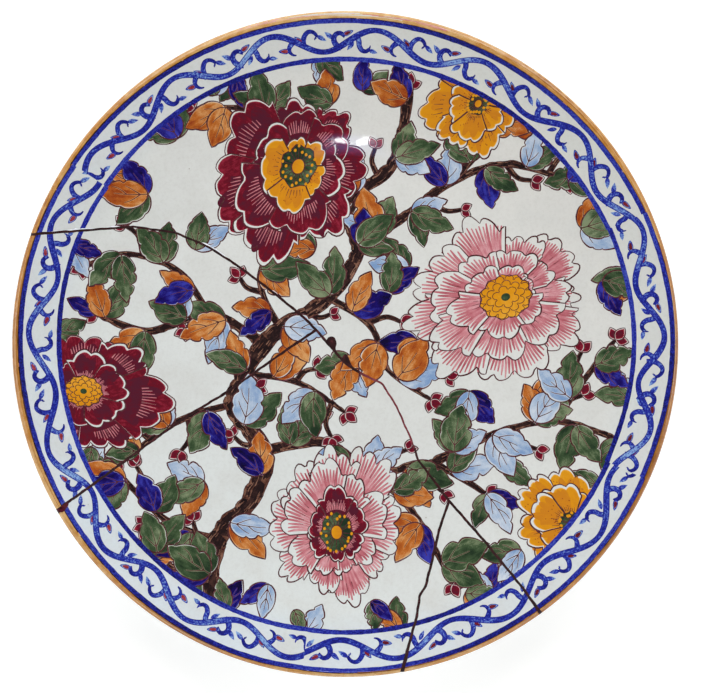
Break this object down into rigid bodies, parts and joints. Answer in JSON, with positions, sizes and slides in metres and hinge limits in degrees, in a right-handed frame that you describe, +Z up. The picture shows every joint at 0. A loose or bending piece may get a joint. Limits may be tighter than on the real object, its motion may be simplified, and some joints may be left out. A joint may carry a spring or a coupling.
{
  "type": "broken plate in pieces",
  "caption": "Round glazed earthenware plate, broken into shards and glued together again along dark adhesive lines, lying on its foot ring",
  "frame": {"origin": "centre of the foot ring's circle, on the surface that the plate stands on", "axes": "+Z up out of the face of the plate, +Y towards the rim of the large shard, +X to the right as the face is looked at"},
  "size_m": [0.31, 0.31, 0.0304],
  "materials": {
    "glazed_earthenware": "glossy tin-white glaze with printed and hand-painted enamel decoration, chipped along the cracks",
    "old_adhesive": "dark brown hardened glue, uneven",
    "rim_filler": "dark red hardened filler, rubbed"
  },
  "bodies": {
    "root": {"shard_large": "glazed_earthenware", "shard_left": "glazed_earthenware", "shard_lower": "glazed_earthenware", "shard_small": "glazed_earthenware", "adhesive_long_crack": "old_adhesive", "adhesive_left_crack": "old_adhesive", "adhesive_lower_crack": "old_adhesive", "rim_filler": "rim_filler"}
  },
  "joints": []
}
